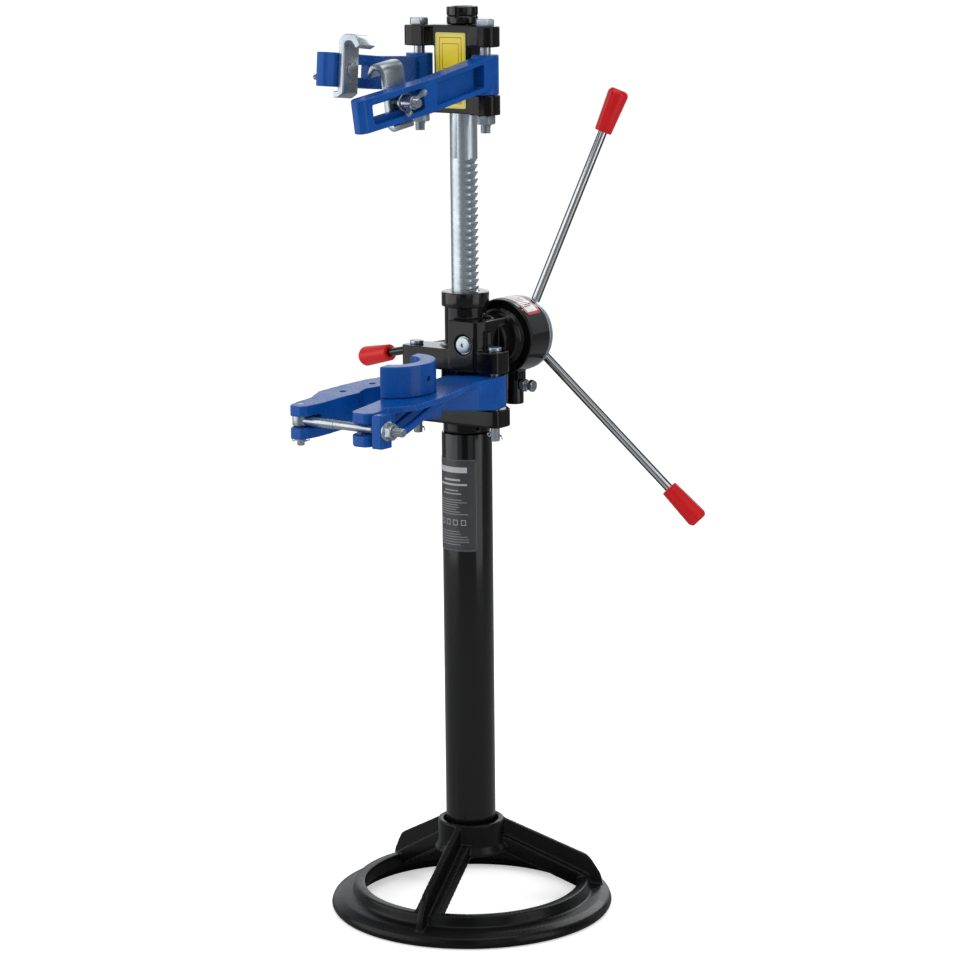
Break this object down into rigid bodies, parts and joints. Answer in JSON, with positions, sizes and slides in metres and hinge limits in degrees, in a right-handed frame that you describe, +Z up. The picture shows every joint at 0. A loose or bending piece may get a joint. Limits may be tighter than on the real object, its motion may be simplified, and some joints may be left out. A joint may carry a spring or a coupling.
{
  "type": "coil spring compressor",
  "caption": "Floor-standing strut spring compressor: ring base, tube column, rack ram with crank handles, upper hook arms and a clamped lower fork.",
  "frame": {"origin": "bottom centre of the bounding box at floor level; the column axis stands at x 18.1 mm, y 43.7 mm", "axes": "+Z up, -Y towards the fork arms (front), +Y towards the crank handles, +X towards the rack teeth"},
  "size_m": [0.4738, 0.4074, 1.0133],
  "materials": {
    "black_gloss_paint": "gloss black enamel on castings and steel",
    "black_satin_cast": "satin black paint over cast iron",
    "blue_paint": "gloss royal blue enamel over castings",
    "zinc_plate": "bright bluish zinc plating",
    "machined_steel": "machined and oiled steel",
    "chrome_rod": "polished chrome plating",
    "red_grip": "smooth red plastic",
    "yellow_label": "printed yellow label, blank frame",
    "grey_label": "dark grey vinyl label, plain bars",
    "white_label": "white label with a red frame, plain bars",
    "bronze_bush": "sintered bronze",
    "friction_lining": "moulded friction lining"
  },
  "bodies": {
    "stand": {"base_casting": "black_satin_cast", "column_tube": "black_gloss_paint", "column_label": "grey_label", "head_casting": "black_gloss_paint", "guide_collar": "black_gloss_paint", "bearing_bush_front": "bronze_bush", "bearing_bush_rear": "bronze_bush", "brake_housing": "black_gloss_paint", "brake_label": "white_label", "pawl_spring": "machined_steel", "pawl_plug": "machined_steel", "adjuster_bolt": "zinc_plate", "adjuster_lock_nut": "zinc_plate", "lower_pin_left": "zinc_plate", "lower_pin_right": "zinc_plate", "cotter_left": "zinc_plate", "cotter_right": "zinc_plate"},
    "pawl": {"pawl_plunger": "machined_steel"},
    "drive": {"pinion_shaft": "machined_steel", "pinion_screw": "zinc_plate", "pinion_washer": "zinc_plate", "ratchet_wheel": "machined_steel", "friction_disc_inner": "friction_lining", "friction_disc_outer": "friction_lining", "handle_hub": "zinc_plate", "hub_nut": "zinc_plate", "handle_rod_1": "chrome_rod", "handle_rod_2": "chrome_rod", "handle_rod_3": "chrome_rod", "grip_1": "red_grip", "grip_2": "red_grip", "grip_3": "red_grip"},
    "ram": {"rack_rod": "zinc_plate", "rack_stop_washer": "machined_steel", "rack_stop_screw": "machined_steel", "upper_bracket": "black_gloss_paint", "top_nut": "black_satin_cast", "bracket_label": "yellow_label", "arm_bolt_left": "zinc_plate", "arm_bolt_right": "zinc_plate", "arm_nut_left": "zinc_plate", "arm_nut_right": "zinc_plate"},
    "upper_arm_left_body": {"upper_arm_left": "blue_paint"},
    "upper_arm_right_body": {"upper_arm_right": "blue_paint"},
    "hook_left_body": {"hook_left": "zinc_plate", "hook_bolt_left": "zinc_plate", "hook_washer_left": "zinc_plate"},
    "hook_right_body": {"hook_right": "zinc_plate", "hook_bolt_right": "zinc_plate", "hook_washer_right": "zinc_plate"},
    "wing_left_body": {"wing_nut_left": "zinc_plate"},
    "wing_right_body": {"wing_nut_right": "zinc_plate"},
    "lower_left_body": {"lower_arm_left": "blue_paint", "fork_pin": "zinc_plate", "fork_cotter": "zinc_plate"},
    "lower_right_body": {"lower_arm_right": "blue_paint", "spring_cup": "blue_paint"},
    "tie_body": {"tie_rod": "zinc_plate"},
    "tie_clamp_body": {"tie_saddle": "blue_paint", "tie_nut": "zinc_plate"}
  },
  "joints": [
    {"name": "ram_lift", "type": "slide", "parent": "stand", "child": "ram", "axis": [0, 0, 1], "range_m": [-0.15708, 0.06283]},
    {"name": "crank_spin", "type": "hinge", "parent": "stand", "child": "drive", "pos_m": [0.0401, 0.0437, 0.65], "axis": [0, 1, 0], "range_deg": [-902, 362]},
    {"name": "pawl_lift", "type": "slide", "parent": "stand", "child": "pawl", "axis": [0, 0, 1], "range_m": [0, 0.003]},
    {"name": "upper_left_swing", "type": "hinge", "parent": "ram", "child": "upper_arm_left_body", "pos_m": [-0.0252, 0.0237, 0.9423], "axis": [0, 0, 1], "range_deg": [-60, 1]},
    {"name": "upper_right_swing", "type": "hinge", "parent": "ram", "child": "upper_arm_right_body", "pos_m": [0.0614, 0.0237, 0.9423], "axis": [0, 0, 1], "range_deg": [-1, 60]},
    {"name": "hook_left_slide", "type": "slide", "parent": "upper_arm_left_body", "child": "hook_left_body", "axis": [0.0815, -0.9916, 0.1005], "range_m": [-0.008, 0.001]},
    {"name": "wing_nut_left_turn", "type": "hinge", "parent": "hook_left_body", "child": "wing_left_body", "pos_m": [-0.0116, -0.14174, 0.95521], "axis": [-0.9966, -0.0819, 0], "continuous": true},
    {"name": "hook_right_slide", "type": "slide", "parent": "upper_arm_right_body", "child": "hook_right_body", "axis": [-0.1477, -0.9768, -0.1551], "range_m": [-0.007, 0.005]},
    {"name": "wing_nut_right_turn", "type": "hinge", "parent": "hook_right_body", "child": "wing_right_body", "pos_m": [0.04308, -0.09742, 0.92063], "axis": [0.9888, -0.1495, 0], "continuous": true},
    {"name": "lower_right_swing", "type": "hinge", "parent": "stand", "child": "lower_right_body", "pos_m": [0.0701, 0.0237, 0.59975], "axis": [0, 0, 1], "range_deg": [-5, 1.2]},
    {"name": "lower_left_swing", "type": "hinge", "parent": "stand", "child": "lower_left_body", "pos_m": [-0.0339, 0.0237, 0.59975], "axis": [0, 0, 1], "range_deg": [-1.25, 5.05]},
    {"name": "tie_rod_swivel", "type": "hinge", "parent": "lower_left_body", "child": "tie_body", "pos_m": [-0.0328, -0.1888, 0.591], "axis": [0, 0, 1], "range_deg": [-5.05, 1.25]},
    {"name": "tie_clamp_travel", "type": "slide", "parent": "tie_body", "child": "tie_clamp_body", "axis": [0.9992, -0.04, 0], "range_m": [-0.0376, 0.0092]}
  ],
  "couplings": [
    {"joint": "crank_spin", "follows": "ram_lift", "rad_per_m": 100},
    {"joint": "lower_left_swing", "follows": "lower_right_swing", "ratio": -1},
    {"joint": "tie_rod_swivel", "follows": "lower_right_swing", "ratio": 1},
    {"joint": "tie_clamp_travel", "follows": "lower_right_swing", "m_per_rad": 0.4253}
  ]
}
